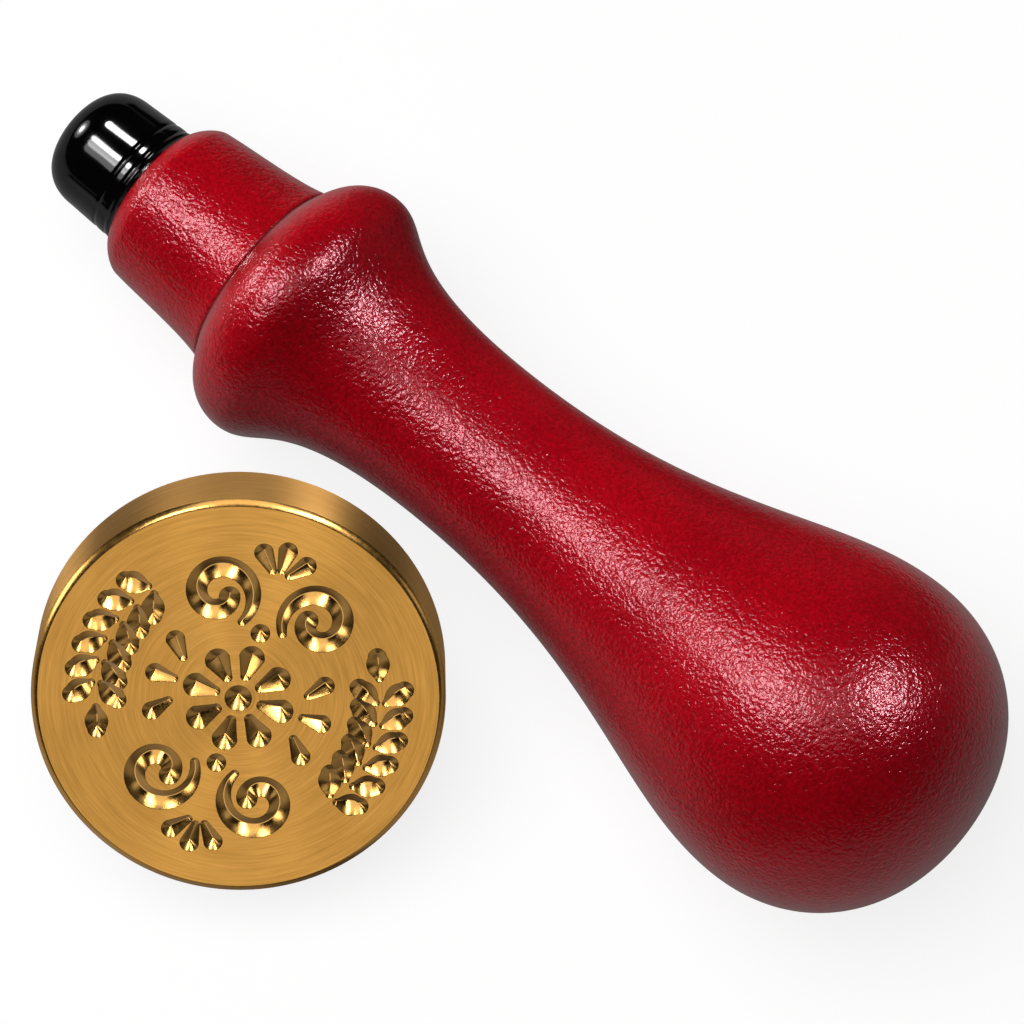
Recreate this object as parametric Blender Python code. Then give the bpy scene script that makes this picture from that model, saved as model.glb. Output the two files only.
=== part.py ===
"""Chocolate stamp: a turned handle, a screw-in stud, a soft stud cap and an engraved brass head.

Metres, +Z up. The table is the plane z = 0. The handle lies along X on its collar and its bulb,
with the cap towards -X. The head lies beside it on the rim of its disc and the rim of its boss.
"""

import math

import bmesh
import bpy
from mathutils import Matrix, Vector

MM = 0.001

# Clearances and the distance at which vertices are welded
FIT_GAP = 0.25 * MM
FACE_GAP = 0.3 * MM
WELD = 0.001 * MM

# Handle: stations from the neck end to the bulb end, and the radius at each
NECK_FACE_RADIUS = 5.0 * MM
NECK_ROUND_END = 1.85 * MM
NECK_FRONT_RADIUS = 6.68 * MM
GROOVE_STATION = 10.76 * MM
GROOVE_WIDTH = 0.3 * MM
GROOVE_DEPTH = 0.2 * MM
NECK_BACK_RADIUS = 7.76 * MM
COLLAR_STATION = 15.08 * MM
COLLAR_RADIUS = 10.74 * MM
WAIST_STATION = 31.1 * MM
WAIST_RADIUS = 6.75 * MM
BULB_STATION = 64.97 * MM
BULB_RADIUS = 13.32 * MM
HANDLE_LENGTH = 77.43 * MM

# Handle: radius gained per station at the neck's ends, and how far each curve holds its end directions
NECK_FRONT_SLOPE = 0.12
NECK_BACK_SLOPE = 0.3
NECK_CORNER_PULLS = (0.5 * MM, 0.75 * MM)
NECK_PULLS = (2.7 * MM, 2.2 * MM)
SHOULDER_RISE = 1.1 * MM
SHOULDER_RUN = 0.45 * MM
SHOULDER_END_PULL = 2.4 * MM
COLLAR_PULLS = (3.35 * MM, 13.4 * MM)
WAIST_PULLS = (17.9 * MM, 9.0 * MM)
BULB_END_PULLS = (7.3 * MM, 7.9 * MM)

# Stud: an M6 hanger bolt, with its threads left plain
STUD_RADIUS = 2.95 * MM
STUD_FREE_LENGTH = 6.0 * MM
STUD_CHAMFER = 0.5 * MM
STUD_SHANK_END = 12.0 * MM
STUD_POINT_RADIUS = 0.8 * MM
STUD_DEPTH = 18.0 * MM
STUD_HOLE_DEPTH = 18.5 * MM

# Cap: a soft cover pushed over the free end of the stud
CAP_LENGTH = 8.0 * MM
CAP_DOME_START = 4.43 * MM
CAP_DOME_RADIUS = 4.74 * MM
CAP_MOUTH_RADIUS = 4.9 * MM
CAP_CREASES = (1.75 * MM, 0.78 * MM)
CAP_CREASE_WIDTH = 0.3 * MM
CAP_CREASE_DEPTH = 0.07 * MM
CAP_BORE_DEPTH = 6.3 * MM
CAP_DOME_PULLS = (3.3 * MM, 2.3 * MM)
CAP_LIP_LENGTH = 0.25 * MM
CAP_LIP_DEPTH = 0.2 * MM

# Head: a disc with a boss behind it and a tapped hole in the boss
DISC_RADIUS = 15.0 * MM
DISC_THICKNESS = 7.4 * MM
DISC_CHAMFER = 0.45 * MM
BOSS_RADIUS = 5.0 * MM
BOSS_HEIGHT = 6.15 * MM
BOSS_CHAMFER = 0.3 * MM
TAP_RADIUS = 3.1 * MM
TAP_CHAMFER = 0.4 * MM
TAP_DEPTH = 8.0 * MM
TAP_CONE = 1.2 * MM

# Layout on the table
NECK_X = -34.67 * MM
HANDLE_Y = 13.09 * MM
HEAD_X = -3.71 * MM
HEAD_Y = -12.79 * MM
HEAD_TURN = math.radians(-48.0)
FACE_TURN = math.radians(90.0)

# Engraving: V grooves with a narrow flat floor; depth is the half width times the slope
GROOVE_SLOPE = 1.15
GROOVE_FLOOR = 0.1 * MM
CUTTER_LIFT = 0.05 * MM
GROOVE_END_STEPS = 6
DOT_STEPS = 12

# Laurel sprigs: pairs of leaves along an arc, both sprigs growing anticlockwise round the face
SPRIG_RADIUS = 10.3 * MM
SPRIG_STARTS = (123.5, -52.0)
SPRIG_PAIRS = 6
PAIR_STEP = 9.3
LEAF_SPREAD = math.radians(50.0)
LEAF_SPAN = (0.5 * MM, 2.15 * MM)
LEAF_HALF_WIDTH = 0.86 * MM
LEAF_SWELL = (0.12, 0.7)
LEAF_STEPS = 3

# Fleuron: a rosette between four volutes and two palmettes, on an axis that leans between the sprigs
FLEURON_LEAN = math.radians(-20.0)
ROSETTE_EYE = 1.0 * MM
ROSETTE_PETALS = 8
PETAL_SPAN = (1.8 * MM, 3.2 * MM)
PETAL_WIDTHS = (0.42 * MM, 0.95 * MM)
VOLUTE_CENTRE = (3.75 * MM, 7.15 * MM)
VOLUTE_RADII = (2.7 * MM, 0.8 * MM)
VOLUTE_START = math.radians(214.0)
VOLUTE_TURNS = 1.1
VOLUTE_WIDTHS = (0.34 * MM, 0.78 * MM)
VOLUTE_SWELL_SHARE = 0.33
VOLUTE_STEPS = 20
PALMETTE_BASE = 9.3 * MM
PALMETTE_SPREADS = (-42.0, 0.0, 42.0)
PALMETTE_SPAN = (0.95 * MM, 2.4 * MM)
SIDE_DROP_SPAN = (4.9 * MM, 6.3 * MM)
CORNER_DROP = ((4.75 * MM, 1.75 * MM), (5.65 * MM, 2.85 * MM))
DROP_WIDTHS = (0.34 * MM, 0.72 * MM)
STEM_DOT = 0.72 * MM
STEM_DOT_PLACE = 5.2 * MM

# Facets
HANDLE_SEGMENTS = 64
CAP_SEGMENTS = 40
STUD_SEGMENTS = 32
HEAD_SEGMENTS = 96
SHARP_EDGE = math.radians(32.0)


def clear_scene():
    """Remove what the file holds at the start."""
    for scene_object in list(bpy.data.objects):
        bpy.data.objects.remove(scene_object, do_unlink=True)


def principled(name, colour, roughness, metallic):
    """A material with one Principled BSDF; the colour is linear."""
    material = bpy.data.materials.new(name)
    material.use_nodes = True
    shader = material.node_tree.nodes["Principled BSDF"]
    shader.inputs["Base Color"].default_value = (*colour, 1.0)
    shader.inputs["Roughness"].default_value = roughness
    shader.inputs["Metallic"].default_value = metallic
    return material


def bezier(start, start_pull, end_pull, end, steps):
    """Points of a cubic curve from start to end, without the start itself."""
    points = []
    for step in range(1, steps + 1):
        t = step / steps
        u = 1.0 - t
        weights = (u ** 3, 3 * u * u * t, 3 * u * t * t, t ** 3)
        corners = (start, start_pull, end_pull, end)
        points.append(tuple(sum(w * corner[k] for w, corner in zip(weights, corners)) for k in (0, 1)))
    return points


def shade(mesh):
    """Smooth faces with crisp edges."""
    mesh.shade_smooth()
    mesh.set_sharp_from_angle(angle=SHARP_EDGE)


def mesh_object(name, bm, material=None):
    """Turn a bmesh into a named object with its faces pointing out."""
    bmesh.ops.recalc_face_normals(bm, faces=bm.faces)
    mesh = bpy.data.meshes.new(name)
    bm.to_mesh(mesh)
    bm.free()
    shade(mesh)
    if material:
        mesh.materials.append(material)
    new_object = bpy.data.objects.new(name, mesh)
    bpy.context.scene.collection.objects.link(new_object)
    return new_object


def turned(name, profile, segments, material):
    """Spin a (radius, height) profile round Z. An end that stops off the axis gets a flat face."""
    bm = bmesh.new()
    chain = [bm.verts.new((radius, 0.0, height)) for radius, height in profile]
    edges = [bm.edges.new(pair) for pair in zip(chain, chain[1:])]
    bmesh.ops.spin(bm, geom=chain + edges, cent=(0, 0, 0), axis=(0, 0, 1), angle=math.tau, steps=segments)
    bmesh.ops.remove_doubles(bm, verts=bm.verts, dist=WELD)
    rims = [edge for edge in bm.edges if edge.is_boundary]
    if rims:
        bmesh.ops.holes_fill(bm, edges=rims, sides=0)
    return mesh_object(name, bm, material)


def along_side(point, slope, reach):
    """A (radius, station) point reached from another along a side that gains radius at a slope."""
    return (point[0] + slope * reach, point[1] + reach)


def handle_outline():
    """(radius, station) points of the handle's outside, from the neck face to the bulb end."""
    neck_front = (NECK_FRONT_RADIUS, NECK_ROUND_END)
    neck_back = (NECK_BACK_RADIUS, GROOVE_STATION)
    groove_floor = (NECK_BACK_RADIUS - GROOVE_DEPTH, GROOVE_STATION + 0.5 * GROOVE_WIDTH)
    shoulder = (NECK_BACK_RADIUS, GROOVE_STATION + GROOVE_WIDTH)
    points = [(NECK_FACE_RADIUS, 0.0)]
    points += bezier(
        points[0],
        (NECK_FACE_RADIUS + NECK_CORNER_PULLS[0], 0.0),
        along_side(neck_front, NECK_FRONT_SLOPE, -NECK_CORNER_PULLS[1]),
        neck_front,
        4,
    )
    points += bezier(
        neck_front,
        along_side(neck_front, NECK_FRONT_SLOPE, NECK_PULLS[0]),
        along_side(neck_back, NECK_BACK_SLOPE, -NECK_PULLS[1]),
        neck_back,
        4,
    )
    points += [groove_floor, shoulder]
    points += bezier(
        shoulder,
        (shoulder[0] + SHOULDER_RISE, shoulder[1] + SHOULDER_RUN),
        (COLLAR_RADIUS, COLLAR_STATION - SHOULDER_END_PULL),
        (COLLAR_RADIUS, COLLAR_STATION),
        6,
    )
    points += bezier(
        (COLLAR_RADIUS, COLLAR_STATION),
        (COLLAR_RADIUS, COLLAR_STATION + COLLAR_PULLS[0]),
        (WAIST_RADIUS, WAIST_STATION - COLLAR_PULLS[1]),
        (WAIST_RADIUS, WAIST_STATION),
        9,
    )
    points += bezier(
        (WAIST_RADIUS, WAIST_STATION),
        (WAIST_RADIUS, WAIST_STATION + WAIST_PULLS[0]),
        (BULB_RADIUS, BULB_STATION - WAIST_PULLS[1]),
        (BULB_RADIUS, BULB_STATION),
        10,
    )
    points += bezier(
        (BULB_RADIUS, BULB_STATION),
        (BULB_RADIUS, BULB_STATION + BULB_END_PULLS[0]),
        (BULB_END_PULLS[1], HANDLE_LENGTH),
        (0.0, HANDLE_LENGTH),
        9,
    )
    return points


def handle_axis():
    """An empty on the handle's axis at the neck end, with +Z towards the bulb.

    The axis leans so that the collar and the bulb both touch the table.
    """
    lean = math.asin((BULB_RADIUS - COLLAR_RADIUS) / (BULB_STATION - COLLAR_STATION))
    height = max(radius * math.cos(lean) - station * math.sin(lean) for radius, station in handle_outline())
    axis = bpy.data.objects.new("handle_axis", None)
    axis.location = (NECK_X, HANDLE_Y, height)
    axis.rotation_euler = (0.0, 0.5 * math.pi - lean, 0.0)
    bpy.context.scene.collection.objects.link(axis)
    return axis


def make_handle(material):
    """The handle, with the blind hole that takes the stud."""
    hole = STUD_RADIUS + FIT_GAP
    bore = [(0.0, STUD_HOLE_DEPTH), (hole, STUD_HOLE_DEPTH), (hole, 0.0)]
    return turned("handle", bore + handle_outline(), HANDLE_SEGMENTS, material)


def make_stud(material):
    """The hanger bolt: plain free end, plain shank and a tapered point in the wood."""
    profile = [
        (0.0, -STUD_FREE_LENGTH),
        (STUD_RADIUS - STUD_CHAMFER, -STUD_FREE_LENGTH),
        (STUD_RADIUS, STUD_CHAMFER - STUD_FREE_LENGTH),
        (STUD_RADIUS, STUD_SHANK_END),
        (STUD_POINT_RADIUS, STUD_DEPTH),
        (0.0, STUD_DEPTH),
    ]
    return turned("threaded_stud", profile, STUD_SEGMENTS, material)


def make_cap(material):
    """The soft cap: domed, slightly flared to its mouth, with two shallow creases."""
    bore = STUD_RADIUS + FIT_GAP
    profile = [(0.0, -CAP_LENGTH)]
    profile += bezier(
        (0.0, -CAP_LENGTH),
        (CAP_DOME_PULLS[0], -CAP_LENGTH),
        (CAP_DOME_RADIUS, -CAP_DOME_START - CAP_DOME_PULLS[1]),
        (CAP_DOME_RADIUS, -CAP_DOME_START),
        9,
    )
    flare = (CAP_MOUTH_RADIUS - CAP_DOME_RADIUS) / (CAP_DOME_START - FACE_GAP)
    for crease in CAP_CREASES:
        side = CAP_DOME_RADIUS + flare * (CAP_DOME_START - crease)
        profile.append((side, -crease - 0.5 * CAP_CREASE_WIDTH))
        profile.append((side - CAP_CREASE_DEPTH, -crease))
        profile.append((side, -crease + 0.5 * CAP_CREASE_WIDTH))
    profile.append((CAP_MOUTH_RADIUS, -FACE_GAP - CAP_LIP_LENGTH))
    profile.append((CAP_MOUTH_RADIUS - CAP_LIP_DEPTH, -FACE_GAP))
    profile += [(bore, -FACE_GAP), (bore, -CAP_BORE_DEPTH), (0.0, -CAP_BORE_DEPTH)]
    return turned("stud_cap", profile, CAP_SEGMENTS, material)


def add_groove(bm, path, half_widths):
    """Add one closed V-shaped cutter along a path on the face, with both ends rounded."""
    last = len(path) - 1
    headings = []
    for index in range(last + 1):
        ahead = path[min(index + 1, last)] - path[max(index - 1, 0)]
        headings.append(math.atan2(ahead.y, ahead.x))
    quarter = 0.5 * math.pi
    turns = [math.pi * step / GROOVE_END_STEPS - quarter for step in range(1, GROOVE_END_STEPS)]
    right = [(index, headings[index] - quarter) for index in range(last + 1)]
    tip = [(last, headings[last] + turn) for turn in turns]
    left = [(index, headings[index] + quarter) for index in range(last, -1, -1)]
    tail = [(0, headings[0] + math.pi + turn) for turn in turns]
    top = []
    floor = []
    for index, angle in right + tip + left + tail:
        outward = Vector((math.cos(angle), math.sin(angle)))
        half = half_widths[index]
        rim = path[index] + outward * (half + CUTTER_LIFT / GROOVE_SLOPE)
        foot = path[index] + outward * GROOVE_FLOOR
        top.append(bm.verts.new((rim.x, rim.y, CUTTER_LIFT)))
        floor.append(bm.verts.new((foot.x, foot.y, -GROOVE_SLOPE * (half - GROOVE_FLOOR))))
    count = len(top)
    for index in range(count):
        following = (index + 1) % count
        bm.faces.new((floor[index], floor[following], top[following], top[index]))
    first_left = last + 1 + len(tip)
    for ring in (top, floor):
        for index in range(last):
            across = first_left + last - index
            bm.faces.new((ring[index], ring[index + 1], ring[across - 1], ring[across]))
        bm.faces.new(ring[last:first_left + 1])
        bm.faces.new(ring[first_left + last:] + ring[:1])


def add_dot(bm, centre, radius):
    """Add one closed conical cutter, as a drill point leaves it."""
    top = []
    floor = []
    for step in range(DOT_STEPS):
        angle = math.tau * step / DOT_STEPS
        outward = Vector((math.cos(angle), math.sin(angle)))
        rim = centre + outward * (radius + CUTTER_LIFT / GROOVE_SLOPE)
        foot = centre + outward * GROOVE_FLOOR
        top.append(bm.verts.new((rim.x, rim.y, CUTTER_LIFT)))
        floor.append(bm.verts.new((foot.x, foot.y, -GROOVE_SLOPE * (radius - GROOVE_FLOOR))))
    for step in range(DOT_STEPS):
        following = (step + 1) % DOT_STEPS
        bm.faces.new((floor[step], floor[following], top[following], top[step]))
    bm.faces.new(top)
    bm.faces.new(floor)


def heading(angle):
    """Unit vector on the face at an angle from the face's own X."""
    return Vector((math.cos(angle), math.sin(angle)))


def add_leaf(bm, stem, along):
    """Add one oval leaf that leaves a stem in a direction; its width follows part of a sine wave."""
    path = []
    half_widths = []
    for step in range(LEAF_STEPS + 1):
        share = step / LEAF_STEPS
        path.append(stem + along * (LEAF_SPAN[0] + (LEAF_SPAN[1] - LEAF_SPAN[0]) * share))
        phase = LEAF_SWELL[0] + (LEAF_SWELL[1] - LEAF_SWELL[0]) * share
        half_widths.append(LEAF_HALF_WIDTH * math.sin(math.pi * phase))
    add_groove(bm, path, half_widths)


def engrave_sprig(bm, start):
    """Pairs of leaves along an arc, closed by one leaf at the growing end."""
    for pair in range(SPRIG_PAIRS + 1):
        place = math.radians(start + PAIR_STEP * pair)
        spreads = (LEAF_SPREAD, -LEAF_SPREAD) if pair < SPRIG_PAIRS else (0.0,)
        for spread in spreads:
            add_leaf(bm, SPRIG_RADIUS * heading(place), heading(place + 0.5 * math.pi + spread))


def fleuron_point(across, along):
    """A place on the face from its distances across and along the fleuron's axis."""
    return Matrix.Rotation(FLEURON_LEAN, 2) @ Vector((across, along))


def volute(side, end):
    """The path and the half widths of one volute, mirrored to its side and its end of the fleuron."""
    path = []
    widths = []
    for step in range(VOLUTE_STEPS + 1):
        share = step / VOLUTE_STEPS
        angle = VOLUTE_START - math.tau * VOLUTE_TURNS * share
        radius = VOLUTE_RADII[0] + (VOLUTE_RADII[1] - VOLUTE_RADII[0]) * share
        across = VOLUTE_CENTRE[0] + radius * math.cos(angle)
        along = VOLUTE_CENTRE[1] + radius * math.sin(angle)
        path.append(fleuron_point(side * across, end * along))
        swell = math.sin(0.5 * math.pi * min(1.0, share / VOLUTE_SWELL_SHARE))
        widths.append(VOLUTE_WIDTHS[0] + (VOLUTE_WIDTHS[1] - VOLUTE_WIDTHS[0]) * swell)
    return path, widths


def engrave_fleuron(bm):
    """A rosette with volutes, palmettes, drops and dots, alike on both sides of both axes."""
    add_dot(bm, fleuron_point(0.0, 0.0), ROSETTE_EYE)
    for petal in range(ROSETTE_PETALS):
        angle = math.tau * petal / ROSETTE_PETALS
        path = [fleuron_point(reach * math.cos(angle), reach * math.sin(angle)) for reach in PETAL_SPAN]
        add_groove(bm, path, PETAL_WIDTHS)
    for side in (-1, 1):
        add_groove(bm, [fleuron_point(side * reach, 0.0) for reach in SIDE_DROP_SPAN], DROP_WIDTHS)
        for end in (-1, 1):
            add_groove(bm, *volute(side, end))
            corner = [fleuron_point(side * across, end * along) for across, along in CORNER_DROP]
            add_groove(bm, corner, DROP_WIDTHS)
    for end in (-1, 1):
        add_dot(bm, fleuron_point(0.0, end * STEM_DOT_PLACE), STEM_DOT)
        for spread in PALMETTE_SPREADS:
            across = math.sin(math.radians(spread))
            along = math.cos(math.radians(spread))
            path = []
            for reach in PALMETTE_SPAN:
                path.append(fleuron_point(reach * across, end * (PALMETTE_BASE + reach * along)))
            add_groove(bm, path, DROP_WIDTHS)


def engraving_cutter():
    """Every groove of the stamping face as closed cutters in one object."""
    bm = bmesh.new()
    for start in SPRIG_STARTS:
        engrave_sprig(bm, start)
    engrave_fleuron(bm)
    cutter = mesh_object("engraving_cutter", bm)
    cutter.rotation_euler.z = FACE_TURN
    return cutter


def engrave(head):
    """Cut the grooves into the head and keep the result as its mesh."""
    cutter = engraving_cutter()
    cut = head.modifiers.new("engraving", "BOOLEAN")
    cut.operation = "DIFFERENCE"
    cut.use_self = True
    cut.object = cutter
    evaluated = head.evaluated_get(bpy.context.evaluated_depsgraph_get())
    blank = head.data
    head.data = bpy.data.meshes.new_from_object(evaluated)
    head.data.name = blank.name
    head.modifiers.remove(cut)
    shade(head.data)
    bpy.data.meshes.remove(blank)
    bpy.data.objects.remove(cutter, do_unlink=True)


def make_head(material):
    """The brass head: engraved face at local z = 0, boss and tapped hole behind it."""
    boss_end = -DISC_THICKNESS - BOSS_HEIGHT
    tap_end = boss_end + TAP_DEPTH
    rim = DISC_RADIUS - DISC_CHAMFER
    profile = [
        (rim, 0.0),
        (DISC_RADIUS, -DISC_CHAMFER),
        (DISC_RADIUS, DISC_CHAMFER - DISC_THICKNESS),
        (rim, -DISC_THICKNESS),
        (BOSS_RADIUS, -DISC_THICKNESS),
        (BOSS_RADIUS, boss_end + BOSS_CHAMFER),
        (BOSS_RADIUS - BOSS_CHAMFER, boss_end),
        (TAP_RADIUS + TAP_CHAMFER, boss_end),
        (TAP_RADIUS, boss_end + TAP_CHAMFER),
        (TAP_RADIUS, tap_end),
        (0.0, tap_end + TAP_CONE),
    ]
    head = turned("stamp_head", profile, HEAD_SEGMENTS, material)
    engrave(head)
    lean = math.atan(BOSS_HEIGHT / (rim - BOSS_RADIUS + BOSS_CHAMFER))
    height = DISC_THICKNESS * math.cos(lean) + rim * math.sin(lean)
    head.location = (HEAD_X, HEAD_Y, height)
    head.rotation_euler = (0.0, lean, HEAD_TURN)
    return head


def main():
    clear_scene()
    lacquer = principled("red_lacquer", (0.34, 0.002, 0.008), 0.25, 0.0)
    steel = principled("zinc_steel", (0.6, 0.6, 0.58), 0.35, 1.0)
    vinyl = principled("black_vinyl", (0.004, 0.004, 0.0045), 0.12, 0.0)
    brass = principled("turned_brass", (0.7, 0.38, 0.1), 0.28, 1.0)
    axis = handle_axis()
    for piece in (make_handle(lacquer), make_stud(steel), make_cap(vinyl)):
        piece.parent = axis
    make_head(brass)


main()
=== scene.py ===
"""Looks of a chocolate stamp: a lacquered handle, its stud and soft cap, and a loose engraved head.

Metres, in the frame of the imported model. The sizes repeat the driving dimensions of the solids, and
each visible piece is a finer mesh that stands for one solid.
"""

import math

import bmesh
import bpy
from mathutils import Matrix, Vector


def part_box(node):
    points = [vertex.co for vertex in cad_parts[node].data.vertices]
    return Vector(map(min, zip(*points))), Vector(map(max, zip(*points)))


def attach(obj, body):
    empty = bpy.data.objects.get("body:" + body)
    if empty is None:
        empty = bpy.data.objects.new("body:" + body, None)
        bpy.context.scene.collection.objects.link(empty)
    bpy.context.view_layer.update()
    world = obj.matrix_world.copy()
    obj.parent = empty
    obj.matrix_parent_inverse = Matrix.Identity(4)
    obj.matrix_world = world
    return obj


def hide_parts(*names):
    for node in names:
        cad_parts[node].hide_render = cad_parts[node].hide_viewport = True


MM = 0.001

# Handle: stations from the neck end to the bulb end, and the radius at each
NECK_FACE_RADIUS = 5.0 * MM
NECK_ROUND_END = 1.85 * MM
NECK_FRONT_RADIUS = 6.68 * MM
GROOVE_STATION = 10.76 * MM
GROOVE_WIDTH = 0.3 * MM
GROOVE_DEPTH = 0.2 * MM
NECK_BACK_RADIUS = 7.76 * MM
COLLAR_STATION = 15.08 * MM
COLLAR_RADIUS = 10.74 * MM
WAIST_STATION = 31.1 * MM
WAIST_RADIUS = 6.75 * MM
BULB_STATION = 64.97 * MM
BULB_RADIUS = 13.32 * MM
HANDLE_LENGTH = 77.43 * MM

# Handle: radius gained per station at the neck's ends, and how far each curve holds its end directions
NECK_FRONT_SLOPE = 0.12
NECK_BACK_SLOPE = 0.3
NECK_CORNER_PULLS = (0.5 * MM, 0.75 * MM)
NECK_PULLS = (2.7 * MM, 2.2 * MM)
SHOULDER_RISE = 1.1 * MM
SHOULDER_RUN = 0.45 * MM
SHOULDER_END_PULL = 2.4 * MM
COLLAR_PULLS = (3.35 * MM, 13.4 * MM)
WAIST_PULLS = (17.9 * MM, 9.0 * MM)
BULB_END_PULLS = (7.3 * MM, 7.9 * MM)
GROOVE_ROUNDS = (0.08 * MM, 0.05 * MM)

# Stud: M6 free end, plain shank and a coarse thread in the wood
STUD_RADIUS = 2.95 * MM
STUD_FREE_LENGTH = 6.0 * MM
STUD_CHAMFER = 0.5 * MM
STUD_DEPTH = 18.0 * MM
STUD_POINT_RADIUS = 0.8 * MM
STUD_HOLE_RADIUS = 3.02 * MM
STUD_HOLE_DEPTH = 18.5 * MM
MACHINE_PITCH = 1.0 * MM
MACHINE_THREAD_END = 2.0 * MM
MACHINE_THREAD_DEPTH = 0.55 * MM
WOOD_PITCH = 2.4 * MM
WOOD_THREAD_START = 5.0 * MM
WOOD_THREAD_DEPTH = 0.7 * MM
TAPER_START = 12.0 * MM
THREAD_ROOT = 0.2
THREAD_CREST = 0.12

# Cap: dome, flared side with two creases, rolled lip and a bore
CAP_LENGTH = 8.0 * MM
CAP_DOME_START = 4.43 * MM
CAP_DOME_RADIUS = 4.74 * MM
CAP_DOME_PULLS = (3.3 * MM, 2.3 * MM)
CAP_MOUTH_RADIUS = 4.9 * MM
CAP_CREASES = (1.75 * MM, 0.78 * MM)
CAP_CREASE_WIDTH = 0.3 * MM
CAP_CREASE_DEPTH = 0.07 * MM
CAP_LIP_ROUND = 0.22 * MM
CAP_FACE_GAP = 0.3 * MM
CAP_BORE_RADIUS = 3.1 * MM
CAP_BORE_DEPTH = 6.3 * MM

# Head: disc, boss behind it and a tapped hole in the boss
DISC_RADIUS = 15.0 * MM
DISC_THICKNESS = 7.4 * MM
DISC_CHAMFER = 0.45 * MM
BOSS_RADIUS = 5.0 * MM
BOSS_HEIGHT = 6.15 * MM
BOSS_CHAMFER = 0.3 * MM
TAP_RADIUS = 3.1 * MM
TAP_CHAMFER = 0.4 * MM
TAP_DEPTH = 8.0 * MM
TAP_CONE = 1.2 * MM
TAP_THREAD_DEPTH = 0.5 * MM
EDGE_BREAK = 0.05 * MM
EDGE_BREAK_IN = 0.03 * MM
EDGE_BREAK_OUT = 0.02 * MM

# Layout on the table
NECK_X = -34.67 * MM
HANDLE_Y = 13.09 * MM
HEAD_X = -3.71 * MM
HEAD_Y = -12.79 * MM
HEAD_TURN = math.radians(-48.0)
FACE_TURN = math.radians(90.0)

# Engraving: V grooves with a narrow floor and a broken lip, deeper where they are wider
GROOVE_SLOPE = 1.15
GROOVE_FLOOR = 0.03 * MM
GROOVE_LIP = 0.05 * MM
GROOVE_REACH = 1.3 * MM
CUTTER_LIFT = 0.05 * MM
GROOVE_END_STEPS = 12
DOT_STEPS = 24

# Laurel sprigs: pairs of leaves along an arc, growing anticlockwise; starts and steps in degrees
SPRIG_RADIUS = 10.3 * MM
SPRIG_STARTS = (123.5, -52.0)
SPRIG_PAIRS = 6
PAIR_STEP = 9.3
LEAF_SPREAD = math.radians(50.0)
LEAF_SPAN = (0.5 * MM, 2.15 * MM)
LEAF_HALF_WIDTH = 0.86 * MM
LEAF_SWELL = (0.12, 0.7)
LEAF_STEPS = 8

# Fleuron: a rosette between four volutes and two palmettes, whose leaves spread by degrees
FLEURON_LEAN = math.radians(-20.0)
ROSETTE_EYE = 1.0 * MM
ROSETTE_PETALS = 8
PETAL_SPAN = (1.8 * MM, 3.2 * MM)
PETAL_WIDTHS = (0.42 * MM, 0.95 * MM)
VOLUTE_CENTRE = (3.75 * MM, 7.15 * MM)
VOLUTE_RADII = (2.7 * MM, 0.8 * MM)
VOLUTE_START = math.radians(214.0)
VOLUTE_TURNS = 1.1
VOLUTE_WIDTHS = (0.34 * MM, 0.78 * MM)
VOLUTE_SWELL_SHARE = 0.33
VOLUTE_STEPS = 48
PALMETTE_BASE = 9.3 * MM
PALMETTE_SPREADS = (-42.0, 0.0, 42.0)
PALMETTE_SPAN = (0.95 * MM, 2.4 * MM)
SIDE_DROP_SPAN = (4.9 * MM, 6.3 * MM)
CORNER_DROP = ((4.75 * MM, 1.75 * MM), (5.65 * MM, 2.85 * MM))
DROP_WIDTHS = (0.34 * MM, 0.72 * MM)
STEM_DOT = 0.72 * MM
STEM_DOT_PLACE = 5.2 * MM

# Mesh fineness: segments round each piece, steps along its curves and gaps between its rings
HANDLE_SEGMENTS = 192
CAP_SEGMENTS = 128
STUD_SEGMENTS = 48
HEAD_SEGMENTS = 192
NECK_CORNER_STEPS = 21
NECK_STEPS = 28
GROOVE_STEPS = 5
SHOULDER_STEPS = 42
COLLAR_STEPS = 49
WAIST_STEPS = 63
BULB_END_STEPS = 63
DOME_STEPS = 42
CAP_SIDE_GAP = 0.08 * MM
CAP_LIP_GAP = math.radians(15.0)
CAP_BORE_GAP = 1.0 * MM
STUD_HOLE_GAP = 2.0 * MM
STUD_GAP = MACHINE_PITCH / 14
TAP_GAP = MACHINE_PITCH / 12
SHARP_EDGE = math.radians(30.0)
FLAT_NORMAL = 0.999

# Materials in general: a noise is its features per metre and its detail, a relief is a depth
NOISE_RANGE = (0.3, 0.7)
FULL_RANGE = (0.0, 1.0)
WHITE = (1.0, 1.0, 1.0, 1.0)

# Red lacquer under a clear coat
LACQUER_CLOUDS = (90.0, 3.0)
LACQUER_PEEL = (3600.0, 1.5)
LACQUER_PEEL_TWIST = 0.3
LACQUER_SWELL = (1500.0, 1.0)
LACQUER_PEEL_SHARE = 0.6
LACQUER_SWELL_SHARE = 0.6
LACQUER_DEPTHS = (0.38, 0.62)
LACQUER_COLOURS = ((0.29, 0.0003, 0.0042), (0.48, 0.0006, 0.0072))
LACQUER_ROUGHNESS = (0.28, 0.34)
LACQUER_TINT = (1.0, 0.06, 0.2, 1.0)
LACQUER_IOR = 1.45
LACQUER_RELIEF = 0.07 * MM
COAT_WEIGHT = 0.85
COAT_ROUGHNESS = 0.18
COAT_RELIEF = 0.09 * MM

# Black vinyl
VINYL_SMUDGE = (420.0, 4.0)
VINYL_SMUDGE_RANGE = (0.4, 0.7)
VINYL_WAVE = (330.0, 1.0)
VINYL_COLOURS = ((0.004, 0.004, 0.0045), (0.009, 0.009, 0.01))
VINYL_ROUGHNESS = (0.08, 0.12)
VINYL_IOR = 1.5
VINYL_RELIEF = 0.03 * MM

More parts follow.
